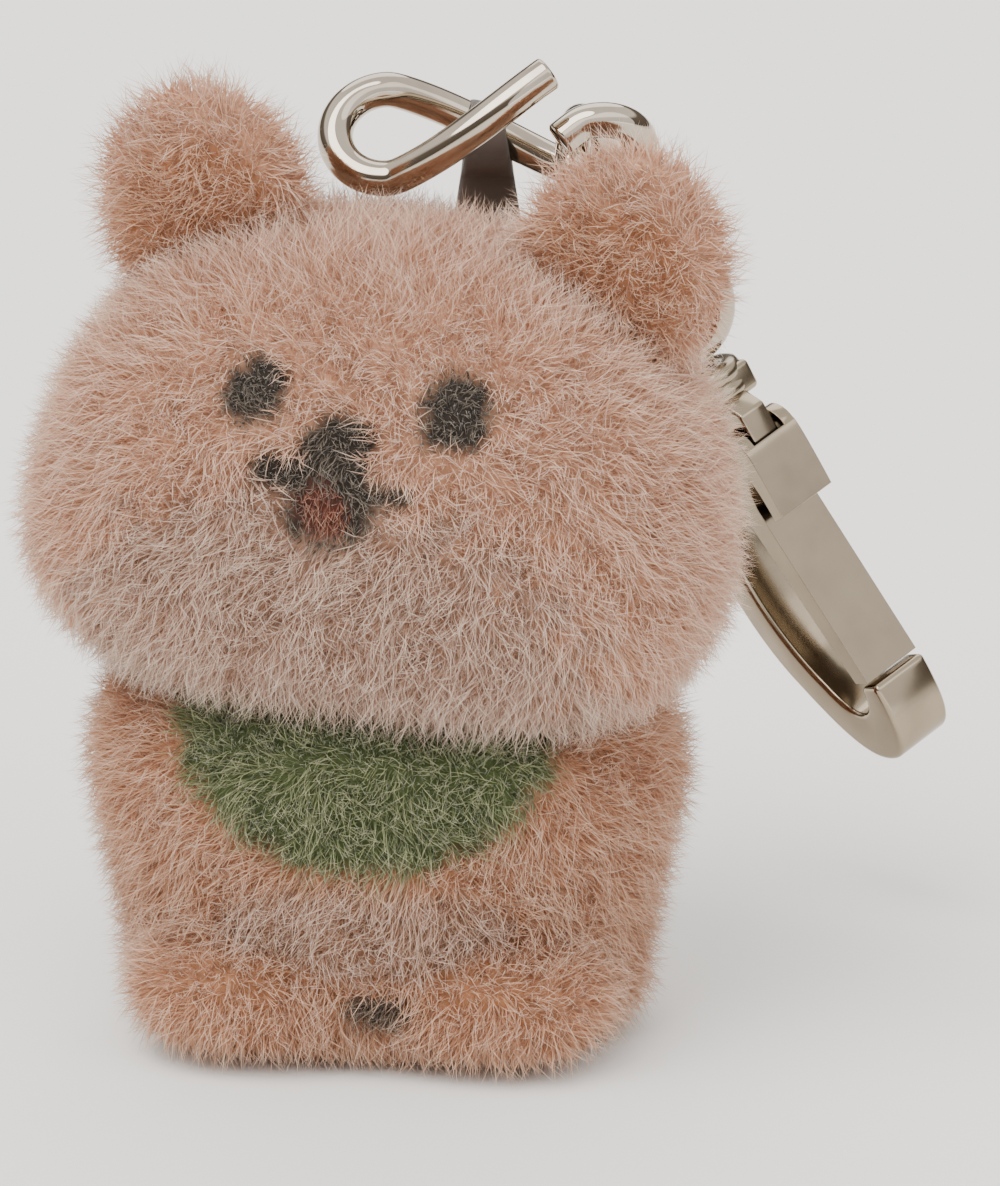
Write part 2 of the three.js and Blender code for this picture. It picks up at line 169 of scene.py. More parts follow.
# The chin's underside takes the darker muzzle pile, as painted shade under the head.
SHADED_CHIN_TOP = -11.5
SHADED_CHIN_REACH = 9.0
PRINT_BLUR = 0.14  # how far single fibres stray over a printed edge


def srgb(r, g, b):
    values = []
    for c in (r, g, b):
        c /= 255
        values.append(c / 12.92 if c <= 0.04045 else ((c + 0.055) / 1.055) ** 2.4)
    return (*values, 1.0)


# Each kind of pile: two shades at the root and two at the tip. The pale tips are partly the fibres' own
# light colour and partly a painted rim glow, for light through the fibres at the edges.
PILE = {
    "coat": ((196, 148, 117), (214, 168, 137), (216, 188, 169), (234, 212, 196)),
    # A darker orange on the front of each ear.
    "ear": ((186, 132, 96), (210, 162, 124), (210, 176, 150), (230, 204, 184)),
    # Muzzle: its own greyer colour, darkened with painted shade of the lower face and chin.
    "muzzle_and_shade": ((172, 134, 110), (206, 170, 148), (208, 186, 170), (228, 212, 198)),
    "bib": ((78, 90, 46), (114, 126, 76), (150, 152, 114), (196, 190, 160)),
    "print": ((50, 41, 33), (76, 65, 53), (136, 123, 105), (196, 182, 162)),
    "tongue": ((96, 46, 30), (150, 82, 58), (136, 96, 74), (192, 164, 144)),
    "body": ((178, 126, 90), (208, 156, 120), (202, 170, 146), (226, 202, 184)),
    "belly": ((168, 126, 98), (200, 160, 134), (202, 178, 160), (224, 206, 192)),
    # Painted shadow: the dark shade in the gap between the feet.
    "leg_gap_shadow": ((62, 50, 40), (110, 90, 72), (120, 102, 86), (180, 160, 140)),
}
KINDS = list(PILE)


# ---- helpers ----------------------------------------------------------------------------------

def new_object(name, mesh, matrix=None):
    obj = bpy.data.objects.new(name, mesh)
    scene.collection.objects.link(obj)
    if matrix is not None:
        obj.matrix_world = matrix
    return obj


def smooth(mesh):
    mesh.polygons.foreach_set("use_smooth", np.ones(len(mesh.polygons), dtype=bool))
    mesh.update()


def mesh_of(name, verts, faces):
    mesh = bpy.data.meshes.new(name)
    mesh.from_pydata([tuple(v) for v in verts], [], faces)
    mesh.validate()
    smooth(mesh)
    return mesh


def placed(matrix):
    """A frame in millimetres as one in metres."""
    out = matrix.copy()
    out.translation = matrix.translation * MM
    return out


def turn(axis, angle):
    return Matrix.Rotation(math.radians(angle), 4, axis)


def material(name):
    mat = bpy.data.materials.new(name)
    mat.use_nodes = True
    tree = mat.node_tree
    return mat, tree.nodes, tree.links, tree.nodes["Principled BSDF"]


# ---- materials --------------------------------------------------------------------------------

def ramp(nodes, stops):
    node = nodes.new("ShaderNodeValToRGB")
    elements = node.color_ramp.elements
    while len(elements) > 1:
        elements.remove(elements[-1])
    elements[0].position, elements[0].color = stops[0]
    for position, colour in stops[1:]:
        elements.new(position).color = colour
    return node


def pile_material():
    """Fibres: u of the map picks the kind and shade of pile, v runs from root to tip."""
    mat, nodes, links, shader = material("pile")
    uv = nodes.new("ShaderNodeUVMap")
    uv.uv_map = "OFBake"
    split = nodes.new("ShaderNodeSeparateXYZ")
    links.new(uv.outputs["UV"], split.inputs[0])
    ends = []
    for low, high in ((0, 1), (2, 3)):
        stops = []
        for i, kind in enumerate(KINDS):
            stops.append(((i + 0.05) / len(KINDS), srgb(*PILE[kind][low])))
            stops.append(((i + 0.95) / len(KINDS), srgb(*PILE[kind][high])))
        node = ramp(nodes, stops)
        links.new(split.outputs["X"], node.inputs["Fac"])
        ends.append(node)
    # Root to tip: the pale tip colour from about half way up, partly the fibres' own colour and partly
    # painted rim glow.
    along = ramp(nodes, [(0.0, (0, 0, 0, 1)), (0.35, (0.12, 0.12, 0.12, 1)), (0.9, (1, 1, 1, 1))])
    links.new(split.outputs["Y"], along.inputs["Fac"])
    mix = nodes.new("ShaderNodeMix")
    mix.data_type = "RGBA"
    links.new(along.outputs["Color"], mix.inputs["Factor"])
    links.new(ends[0].outputs["Color"], mix.inputs["A"])
    links.new(ends[1].outputs["Color"], mix.inputs["B"])
    links.new(mix.outputs["Result"], shader.inputs["Base Color"])
    shader.inputs["Roughness"].default_value = 0.7
    shader.inputs["Specular IOR Level"].default_value = 0.25
    shader.inputs["Sheen Weight"].default_value = 0.35
    shader.inputs["Sheen Roughness"].default_value = 0.5
    return mat


def backing_material():
    """Knitted backing below the pile, in the colours printed on it and its painted shade."""
    mat, nodes, links, shader = material("backing")
    printed = nodes.new("ShaderNodeVertexColor")
    printed.layer_name = "printed"
    place = nodes.new("ShaderNodeTexCoord")
    noise = nodes.new("ShaderNodeTexNoise")
    noise.inputs["Scale"].default_value = 900
    noise.inputs["Detail"].default_value = 4
    links.new(place.outputs["Object"], noise.inputs["Vector"])
    shade = ramp(nodes, [(0.3, (0.55, 0.55, 0.55, 1)), (0.7, (1, 1, 1, 1))])
    links.new(noise.outputs["Fac"], shade.inputs["Fac"])
    mix = nodes.new("ShaderNodeMix")
    mix.data_type = "RGBA"
    mix.blend_type = "MULTIPLY"
    mix.inputs["Factor"].default_value = 1
    links.new(printed.outputs["Color"], mix.inputs["A"])
    links.new(shade.outputs["Color"], mix.inputs["B"])
    links.new(mix.outputs["Result"], shader.inputs["Base Color"])
    bump = nodes.new("ShaderNodeBump")
    bump.inputs["Strength"].default_value = 0.6
    bump.inputs["Distance"].default_value = 0.2 * MM
    links.new(noise.outputs["Fac"], bump.inputs["Height"])
    links.new(bump.outputs["Normal"], shader.inputs["Normal"])
    shader.inputs["Roughness"].default_value = 0.95
    shader.inputs["Sheen Weight"].default_value = 0.3
    return mat


def metal_material(name, colour, rough_low, rough_high, wear):
    """Polished plating, with patches dulled by handling and a fine unevenness."""
    mat, nodes, links, shader = material(name)
    place = nodes.new("ShaderNodeTexCoord")
    patch = nodes.new("ShaderNodeTexNoise")
    patch.inputs["Scale"].default_value = 260
    patch.inputs["Detail"].default_value = 5
    links.new(place.outputs["Object"], patch.inputs["Vector"])
    tint = ramp(nodes, [(0.3, tuple(c * wear for c in colour[:3]) + (1,)), (0.62, colour)])
    links.new(patch.outputs["Fac"], tint.inputs["Fac"])
    links.new(tint.outputs["Color"], shader.inputs["Base Color"])
    rough = nodes.new("ShaderNodeMapRange")
    rough.inputs["From Min"].default_value = 0.3
    rough.inputs["From Max"].default_value = 0.7
    rough.inputs["To Min"].default_value = rough_high
    rough.inputs["To Max"].default_value = rough_low
    links.new(patch.outputs["Fac"], rough.inputs["Value"])
    links.new(rough.outputs["Result"], shader.inputs["Roughness"])
    fine = nodes.new("ShaderNodeTexNoise")
    fine.inputs["Scale"].default_value = 420
    fine.inputs["Detail"].default_value = 2
    links.new(place.outputs["Object"], fine.inputs["Vector"])
    bump = nodes.new("ShaderNodeBump")
    bump.inputs["Strength"].default_value = 0.12
    bump.inputs["Distance"].default_value = 0.05 * MM
    links.new(fine.outputs["Fac"], bump.inputs["Height"])
    links.new(bump.outputs["Normal"], shader.inputs["Normal"])
    shader.inputs["Metallic"].default_value = 1
    return mat


def ribbon_material():
    """Grosgrain: weft ribs across the ribbon and finer warp threads along it. Its browns are its own
    colour darkened by painted shade, darkest in the troughs between the ribs.
    """
    mat, nodes, links, shader = material("ribbon")
    uv = nodes.new("ShaderNodeUVMap")
    uv.uv_map = "weave"
    waves = []
    for direction, scale in (("Y", 34), ("X", 9)):
        wave = nodes.new("ShaderNodeTexWave")
        wave.bands_direction = direction
        wave.inputs["Scale"].default_value = scale
        wave.inputs["Distortion"].default_value = 0.4
        links.new(uv.outputs["UV"], wave.inputs["Vector"])
        waves.append(wave)
    both = nodes.new("ShaderNodeMath")
    both.operation = "MULTIPLY"
    links.new(waves[0].outputs["Fac"], both.inputs[0])
    links.new(waves[1].outputs["Fac"], both.inputs[1])
    # Painted shade: the dark brown of the loop in shadow, darkest where the ribs dip.
    shade = ramp(nodes, [(0.0, srgb(62, 48, 38)), (0.7, srgb(112, 94, 78))])
    links.new(both.outputs["Value"], shade.inputs["Fac"])
    links.new(shade.outputs["Color"], shader.inputs["Base Color"])
    bump = nodes.new("ShaderNodeBump")
    bump.inputs["Strength"].default_value = 0.7
    bump.inputs["Distance"].default_value = 0.08 * MM
    links.new(both.outputs["Value"], bump.inputs["Height"])
    links.new(bump.outputs["Normal"], shader.inputs["Normal"])
    shader.inputs["Roughness"].default_value = 0.55
    shader.inputs["Sheen Weight"].default_value = 0.3
    return mat


PILE_MATERIAL = pile_material()
BACKING = backing_material()
NICKEL = metal_material("nickel", srgb(184, 172, 156), 0.04, 0.1, 0.8)
CAST = metal_material("cast_nickel", srgb(158, 144, 124), 0.12, 0.22, 0.84)
STEEL = metal_material("spring_steel", srgb(150, 146, 140), 0.25, 0.4, 0.8)
RIBBON = ribbon_material()


# ---- plush: forms -----------------------------------------------------------------------------

def ball(width, depth, height, squareness, fullness):
    bm = bmesh.new()
    bmesh.ops.create_uvsphere(bm, u_segments=72, v_segments=44, radius=1)
    mesh = bpy.data.meshes.new("form")
    bm.to_mesh(mesh)
    bm.free()
    p = coordinates(mesh)
    power = (np.abs(p) ** squareness).sum(1)
    p *= (power ** (-1 / squareness))[:, None]
    p[:, 0] *= width / 2 * (1 - fullness * p[:, 2])
    p[:, 1] *= depth / 2
    p[:, 2] *= height / 2
    mesh.vertices.foreach_set("co", p.ravel())
    mesh.update()
    return mesh


def coordinates(mesh):
    p = np.empty(len(mesh.vertices) * 3)
    mesh.vertices.foreach_get("co", p)
    return p.reshape(-1, 3)


def quadratic(a, b, c, steps):
    out = []
    for i in range(1, steps + 1):
        t = i / steps
        out.append(tuple((1 - t) ** 2 * p + 2 * t * (1 - t) * q + t * t * r
                         for p, q, r in zip(a, b, c)))
    return out


def cubic(a, b, c, d, steps):
    out = []
    for i in range(1, steps + 1):
        t = i / steps
        s = 1 - t
        out.append(tuple(s ** 3 * p + 3 * s * s * t * q + 3 * s * t * t * r + t ** 3 * e
                         for p, q, r, e in zip(a, b, c, d)))
    return out


def arc(centre, radius, start, end, steps):
    return [(centre[0] + radius * math.cos(start + (end - start) * i / steps),
             centre[1] + radius * math.sin(start + (end - start) * i / steps))
            for i in range(steps + 1)]


def body_form(inset):
    side = BODY_WIDTH / 2 - inset
    foot = BODY_FOOT_WIDTH / 2 - inset
    base = BODY_BASE_WIDTH / 2
    path = [(0, inset), (base / 2, inset), (base, inset)]
    path += quadratic((base, inset), (foot, inset), (foot, BODY_FOOT_RISE + inset / 2), 6)
    path += [(foot + (side - foot) * t, (BODY_FOOT_RISE + inset / 2) * (1 - t) + SHOULDER_HEIGHT * t)
             for t in (0.33, 0.66, 1.0)]
    top = BODY_TOP - inset
    path += quadratic((side, SHOULDER_HEIGHT), (side, top), (side - SHOULDER_RADIUS, top), 8)
    path += [((side - SHOULDER_RADIUS) * t, top) for t in (0.66, 0.33)]
    around = 72
    squash = (BODY_DEPTH / 2 - inset) / side
    verts = [(0, 0, inset)]
    for radius, z in path[1:]:
        for k in range(around):
            angle = 2 * math.pi * k / around
            verts.append((radius * math.cos(angle), radius * math.sin(angle) * squash, z))
    verts.append((0, 0, top))
    rings = len(path) - 1
    faces = [(0, 1 + (k + 1) % around, 1 + k) for k in range(around)]
    for r in range(rings - 1):
        for k in range(around):
            a, b = 1 + r * around + k, 1 + r * around + (k + 1) % around
            faces.append((a, b, b + around, a + around))
    last = 1 + (rings - 1) * around
    faces += [(last + k, last + (k + 1) % around, len(verts) - 1) for k in range(around)]
    return mesh_of("form", verts, faces)


SIM_SCALE = 0.02  # the cloth is worked out on a larger copy, one metre to 50 mm
SIM_FRAMES = 20
PRESSURE = 4.0
STIFFNESS = 12
CLOTH_STEP = 1.3  # the fabric's mesh on head and body, and how far it may swell
SWELL = 0.7
EAR_CLOTH_STEP = 0.7
EAR_SWELL = 0.4


def stuffed(mesh, voxel, seam, cap):
    """The fabric, cut even and blown out by its stuffing between the seams that hold it."""
    p = coordinates(mesh) * SIM_SCALE
    mesh.vertices.foreach_set("co", p.ravel())
    obj = new_object("fabric", mesh)
    even = obj.modifiers.new("even", "REMESH")
    even.mode = "VOXEL"
    even.voxel_size = voxel * SIM_SCALE
    graph = bpy.context.evaluated_depsgraph_get()
    cut = bpy.data.meshes.new_from_object(obj.evaluated_get(graph))
    obj.modifiers.clear()
    obj.data = cut
    before = coordinates(cut)
    after = before.copy()
    held = np.nonzero(seam(before / SIM_SCALE))[0]
    group = obj.vertex_groups.new(name="seam")
    group.add([int(i) for i in held], 1.0, "REPLACE")
    cloth = obj.modifiers.new("cloth", "CLOTH")
    cloth.settings.quality = 6
    cloth.settings.use_pressure = True
    cloth.settings.uniform_pressure_force = PRESSURE
    cloth.settings.effector_weights.gravity = 0
    cloth.settings.vertex_group_mass = "seam"
    cloth.settings.tension_stiffness = STIFFNESS
    cloth.settings.compression_stiffness = STIFFNESS
    cloth.collision_settings.use_collision = False
    cloth.point_cache.frame_start = 1
    cloth.point_cache.frame_end = SIM_FRAMES
    for number in range(1, SIM_FRAMES + 1):
        scene.frame_set(number)
    graph = bpy.context.evaluated_depsgraph_get()
    blown = obj.evaluated_get(graph)
    after = coordinates(blown.to_mesh())
    blown.to_mesh_clear()
    scene.frame_set(1)
    obj.modifiers.clear()
    step = after - before
    length = np.linalg.norm(step, axis=1, keepdims=True)
    step *= np.minimum(1, cap * SIM_SCALE / np.maximum(length, 1e-9))
    final = (before + step) / SIM_SCALE * MM
    cut.vertices.foreach_set("co", final.ravel())
    smooth(cut)
    bpy.data.objects.remove(obj)
    return cut


# ---- plush: printed areas and painted shade -----------------------------------------------------

def inside(area, x, z):
    (cx, cz), (rx, rz) = area
    return np.hypot((x - cx) / rx, (z - cz) / rz)


def head_kind(p, blur):
    """The kind of pile at points of the head, in its own frame, millimetres."""
    x, y, z = (p + blur).T
    kind = np.full(len(p), KINDS.index("coat"))
    front = y < PRINT_REACH
    kind[(inside(MUZZLE, x, z) + 0.15 * np.sin(x) * np.cos(1.3 * z) < 1) & front] = KINDS.index("muzzle_and_shade")
    # Painted shade: the underside of the chin gets the darker muzzle pile.
    kind[(z < SHADED_CHIN_TOP) & (y < SHADED_CHIN_REACH)] = KINDS.index("muzzle_and_shade")
    dark = np.zeros(len(p), bool)
    for area in (*EYES, NOSE, *MOUTH_CORNERS):
        dark |= inside(area, x, z) < 1
    mouth = inside(MOUTH, x, z) < 1
    dark |= mouth & (z > MOUTH[0][1] - MOUTH[1][1])
    kind[dark & front] = KINDS.index("print")
    kind[(inside(TONGUE, x, z) < 1) & front] = KINDS.index("tongue")
    return kind


def ear_kind(p, blur):
    x, y, z = (p + blur).T
    kind = np.full(len(p), KINDS.index("coat"))
    kind[(inside(EAR_DARKER_FRONT, x, z) < 1) & (y < 0)] = KINDS.index("ear")
    return kind


def body_kind(p, blur):
    x, y, z = (p + blur).T
    kind = np.full(len(p), KINDS.index("body"))
    front = y < PRINT_REACH
    kind[(inside(BELLY, x, z) < 1) & front] = KINDS.index("belly")
    kind[(inside(BIB, x, z) < 1) & front] = KINDS.index("bib")
    # Painted shadow in the gap between the feet.
    kind[(inside(LEG_GAP_SHADOW, x, z) < 1) & front] = KINDS.index("leg_gap_shadow")
    return kind


def print_colours(obj, kinds_at):
    mesh = obj.data
    p = coordinates(mesh) / MM
    kind = kinds_at(p, np.zeros_like(p))
    # Root colours of each kind of pile, including the painted shade of the leg gap and of the muzzle.
    table = np.array([np.array(srgb(*PILE[k][0])) for k in KINDS])
    layer = mesh.color_attributes.new("printed", "FLOAT_COLOR", "POINT")
    layer.data.foreach_set("color", table[kind].ravel().astype(np.float32))


# ---- plush: pile --------------------------------------------------------------------------------

def spread(obj, density):
    """Points strewn evenly over a piece, with its normals, in its own frame, millimetres."""
    graph = bpy.context.evaluated_depsgraph_get()
    shown = obj.evaluated_get(graph)
    mesh = shown.to_mesh()
    mesh.calc_loop_triangles()
    corners = np.empty(len(mesh.loop_triangles) * 3, dtype=np.int64)
    mesh.loop_triangles.foreach_get("vertices", corners)
    corners = corners.reshape(-1, 3)
    p = coordinates(mesh) / MM
    n = np.empty(len(mesh.vertices) * 3)
    mesh.vertices.foreach_get("normal", n)
    n = n.reshape(-1, 3)
    shown.to_mesh_clear()
    a, b, c = p[corners[:, 0]], p[corners[:, 1]], p[corners[:, 2]]
    area = np.linalg.norm(np.cross(b - a, c - a), axis=1) / 2
    total = area.cumsum()
    count = int(total[-1] * density)
    pick = np.searchsorted(total, (np.arange(count) + rng.random(count)) / count * total[-1])
    pick = np.minimum(pick, len(area) - 1)
    u, v = rng.random((2, count))
    flip = u + v > 1
    u[flip], v[flip] = 1 - u[flip], 1 - v[flip]
    w = 1 - u - v
    t = corners[pick]
    at = w[:, None] * p[t[:, 0]] + u[:, None] * p[t[:, 1]] + v[:, None] * p[t[:, 2]]
    normal = w[:, None] * n[t[:, 0]] + u[:, None] * n[t[:, 1]] + v[:, None] * n[t[:, 2]]
    return at, unit(normal)


def unit(v):
    return v / np.maximum(np.linalg.norm(v, axis=-1, keepdims=True), 1e-9)


def tangent(v, n):
    return v - (v * n).sum(1, keepdims=True) * n


def tufts(p):
    """A smooth, wandering direction, which leans neighbouring fibres the same way."""
    q = p * 0.9
    return np.stack([
        np.sin(q[:, 1] * 1.3 + 2 * np.sin(q[:, 2] * 0.7)) + 0.6 * np.sin(2.3 * q[:, 2] + q[:, 0]),
        np.sin(q[:, 2] * 1.1 + 2 * np.sin(q[:, 0] * 0.8)) + 0.6 * np.sin(2.1 * q[:, 0] + q[:, 1]),
        np.sin(q[:, 0] * 1.2 + 2 * np.sin(q[:, 1] * 0.9)) + 0.6 * np.sin(2.2 * q[:, 1] + q[:, 2]),
    ], 1)


def fibres(name, root, normal, length, width, lean, comb, kind, shade, tip_v, matrix):
    """Fine tapered fibres, one mesh."""
    count = len(root)
    loose = tangent(rng.normal(size=(count, 3)), normal)
    loose = unit(loose) * lean[:, None] * rng.random(count)[:, None] ** 0.7
    start = unit(normal + 0.55 * loose + 0.22 * tangent(tufts(root), normal) + comb * 0.5)
    end = unit(normal * 0.75 + loose * 1.1 + 0.3 * tangent(tufts(root), normal) + comb)
    half = length[:, None] / 2
    base = root - 0.15 * normal
    middle = base + half * start
    tip = middle + half * end
    side = unit(np.cross(end, rng.normal(size=(count, 3))))
    verts = np.empty((count, 5, 3))
    for k, (p, share) in enumerate(((base, 0.45), (middle, 0.45))):
        w = (width * share)[:, None] * side
        verts[:, 2 * k] = p - w
        verts[:, 2 * k + 1] = p + w
    verts[:, 4] = tip
    turned = np.array(matrix)
    height = verts @ turned[2, :3] + turned[2, 3] / MM
    verts += np.maximum(0, FLOOR_GAP - height)[:, :, None] * turned[2, :3]
    mesh = bpy.data.meshes.new(name)
    mesh.vertices.add(count * 5)
    mesh.vertices.foreach_set("co", (verts * MM).ravel())
    pattern = np.array([0, 1, 3, 2, 2, 3, 4])
    loops = (np.arange(count)[:, None] * 5 + pattern).ravel()
    mesh.loops.add(len(loops))
    mesh.loops.foreach_set("vertex_index", loops.astype(np.int32))
    starts = (np.arange(count)[:, None] * 7 + np.array([0, 4])).ravel()
    mesh.polygons.add(count * 2)
    mesh.polygons.foreach_set("loop_start", starts.astype(np.int32))
    mesh.update(calc_edges=True)
    left = (kind + 0.12 + 0.7 * shade) / len(KINDS)
    across = 0.04 / len(KINDS)
    u = left[:, None] + across * np.array([0, 1, 1, 0, 0, 1, 0.5])
    v = tip_v[:, None] * np.array([0.02, 0.02, 0.5, 0.5, 0.5, 0.5, 0.98])
    layer = mesh.uv_layers.new(name="OFBake")
    layer.data.foreach_set("uv", np.stack([u, v], -1).astype(np.float32).ravel())
    smooth(mesh)
    mesh.materials.append(PILE_MATERIAL)
    obj = new_object(name, mesh, matrix)
    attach(obj, "plush")
    return obj


UNDER = dict(density=14.0, low=1.1, high=1.8, width=0.11, lean=0.8, tip=0.6)
GUARD = dict(density=11.5, low=2.2, high=3.3, width=0.06, lean=1.0, tip=1.0)


def pile(name, obj, kinds_at, keep, comb_at, length_at, matrix):
    """Short dense underfur and longer, paler guard hairs over a piece; the guard hairs' pale tips are
    partly a painted rim glow.
    """
    parts = []
    for layer in (UNDER, GUARD):
        root, normal = spread(obj, layer["density"])
        stay = keep(root)
        root, normal = root[stay], normal[stay]
        count = len(root)
        blur = rng.normal(size=(count, 3)) * PRINT_BLUR
        kind = kinds_at(root, blur)
        length = layer["low"] + (layer["high"] - layer["low"]) * rng.random(count)
        length *= length_at(root, kind)
        tip = np.full(count, layer["tip"])
        shade = np.clip(rng.normal(0.5, 0.26, count), 0, 1)
        if layer is GUARD:
            printed = np.isin(kind, [KINDS.index("print")])
            tip[printed] = 0.8
        parts.append((root, normal, length, np.full(count, layer["width"]),
                      np.full(count, layer["lean"]), comb_at(root, normal), kind, shade, tip))
    columns = [np.concatenate(c) for c in zip(*parts)]
    return fibres(name, *columns, matrix)


def quarters(name, obj, kinds_at, keep, comb_at, length_at, matrix):
    """The pile of a large piece, as four pieces."""
    for end, facing in (("front", -1), ("back", 1)):
        for side, hand in (("left", 1), ("right", -1)):
            def here(p, facing=facing, hand=hand):
                return keep(p) & (p[:, 1] * facing >= 0) & (p[:, 0] * hand >= 0)
            pile(f"{name}_{end}_{side}_pile", obj, kinds_at, here, comb_at, length_at, matrix)


def head_lengths(p, kind):
    out = np.ones(len(p))
    out[np.isin(kind, [KINDS.index("print"), KINDS.index("tongue")])] = 0.62
    chin = np.clip((-11 - p[:, 2]) / 4, 0, 1)
    return out * (1 + 0.1 * chin)


def body_lengths(p, kind):
    out = np.ones(len(p))
    out[kind == KINDS.index("bib")] = 0.85
    out[p[:, 2] < 2.2] *= 0.75
    return out


def even_lengths(p, kind):
    return np.ones(len(p))


def falling(amount):
    down = np.array([[0, 0, -1.0]])
    return lambda p, n: amount * tangent(np.repeat(down, len(p), 0), n)


def outside_head(p):
    """Points of the head's frame that are outside the head's skin."""
    z = p[:, 2] / (HEAD[2] / 2 - SKIN)
    x = p[:, 0] / ((HEAD[0] / 2 - SKIN) * (1 - CHEEK_FULLNESS * z))
    y = p[:, 1] / (HEAD[1] / 2 - SKIN)
    return (np.abs(x) ** HEAD_SQUARENESS + np.abs(y) ** HEAD_SQUARENESS
            + np.abs(z) ** HEAD_SQUARENESS) > 1


# ---- plush: pieces ------------------------------------------------------------------------------

head_frame = Matrix.Translation((0, 0, HEAD_CENTRE)) @ turn("Z", HEAD_TURN) @ turn("Y", HEAD_TILT)
torso_frame = turn("Z", BODY_TURN)


def dressed(name, mesh, matrix, kinds_at, fill, *nodes):
    obj = new_object(name, mesh, placed(matrix))
    print_colours(obj, kinds_at)
    mesh.materials.append(BACKING)
    round_off = obj.modifiers.new("round", "SUBSURF")
    round_off.levels = round_off.render_levels = 1
    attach(obj, "plush")
    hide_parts(*nodes)
    return obj


def make_head():
    form = ball(*(s - 2 * SKIN for s in HEAD), HEAD_SQUARENESS, CHEEK_FULLNESS)
    mesh = stuffed(form, CLOTH_STEP, lambda p: np.abs(p[:, 1] - HEAD_SEAM) < 0.8, SWELL)
    skin = dressed("head_skin", mesh, head_frame, head_kind, 0.8,
                   "head_front_cover", "head_back_cover", "head_filling")
    comb = falling(0.35)
    matrix = placed(head_frame)
    quarters("head", skin, head_kind, lambda p: np.full(len(p), True), comb, head_lengths, matrix)


def make_ear(side, label):
    local = Matrix.Translation((side * EAR_SPREAD, EAR_FORWARD, EAR_RISE)) @ turn("Y", side * EAR_SPLAY)
    whole = head_frame @ local
    form = ball(*(s - 2 * EAR_SKIN for s in EAR), 2, 0)
    mesh = stuffed(form, EAR_CLOTH_STEP, lambda p: np.abs(p[:, 1]) < 0.35, EAR_SWELL)
    skin = dressed(f"ear_{label}_skin", mesh, whole, ear_kind, 0.6, f"ear_{label}_front_cover",
                   f"ear_{label}_back_cover", f"ear_{label}_filling")
    to_head = np.array(local)

    def outside(p):
        return outside_head(p @ to_head[:3, :3].T + to_head[:3, 3])

    def outwards(p, n):
        away = np.stack([p[:, 0], np.zeros(len(p)), p[:, 2] + 4], 1)
        return 0.25 * tangent(unit(away), n)

    pile(f"ear_{label}_pile", skin, ear_kind, outside, outwards, even_lengths, placed(whole))


def make_body():
    bag = body_form(SKIN)
    forms = [(coordinates(bag), [tuple(f.vertices) for f in bag.polygons])]
    for sign in (1, -1):
        foot = ball(*(s - 2 * SKIN for s in FOOT), 2.4, 0)
        forms.append((coordinates(foot) + (sign * FOOT_SPREAD, -FOOT_FORWARD, FOOT[2] / 2),
                      [tuple(f.vertices) for f in foot.polygons]))
    form = joined("form", *forms)
    form.transform(Matrix.Scale(1 / MM, 4))

    def seam(q):
        return (np.abs(q[:, 1]) < 0.6) | (q[:, 2] < SKIN + 0.4)

    mesh = stuffed(form, CLOTH_STEP, seam, SWELL)
    skin = dressed("body_skin", mesh, torso_frame, body_kind, 0.7,
                   "body_front_cover", "body_back_cover", "body_filling")
    from_head = np.array(head_frame.inverted() @ torso_frame)

    def showing(q):
        return (q[:, 2] > 1.0) & outside_head(q @ from_head[:3, :3].T + from_head[:3, 3])

    comb = falling(0.3)
    matrix = placed(torso_frame)
    quarters("body", skin, body_kind, showing, comb, body_lengths, matrix)


def make_base():
    """The panel under the body: cloth with a groove along its seam and a turned edge."""
    low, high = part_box("base_panel")
    half_x = (BODY_BASE_WIDTH / 2 - HEM) * MM
    half_y = half_x * BODY_DEPTH / BODY_WIDTH
    height = high[2] - low[2]
    profile = [(0.0, 0.35), (0.3, 0.32), (0.6, 0.2), (0.84, 0.04), (0.9, 0.12), (0.95, 0.02),
               (0.99, 0.16), (1.0, 0.45), (0.98, 0.8), (0.9, 0.95), (0.5, 1.0), (0.0, 1.0)]
    around = 96
    verts, faces = [], []
    for share, z in profile:
        for k in range(around):
            angle = 2 * math.pi * k / around
            verts.append((half_x * share * math.cos(angle), half_y * share * math.sin(angle),
                          low[2] + z * height))
    for r in range(len(profile) - 1):
        for k in range(around):
            a, b = r * around + k, r * around + (k + 1) % around
            faces.append((a, a + around, b + around, b))
    mesh = mesh_of("base_cloth", verts, faces)
    bm = bmesh.new()
    bm.from_mesh(mesh)
    bmesh.ops.remove_doubles(bm, verts=bm.verts, dist=1e-7)
    bmesh.ops.recalc_face_normals(bm, faces=bm.faces)
    bm.to_mesh(mesh)
    bm.free()
    smooth(mesh)
    obj = new_object("base_cloth", mesh, placed(torso_frame))
    print_colours(obj, body_kind)
    mesh.materials.append(BACKING)
    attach(obj, "plush")
    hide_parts("base_panel")


# ---- chain --------------------------------------------------------------------------------------

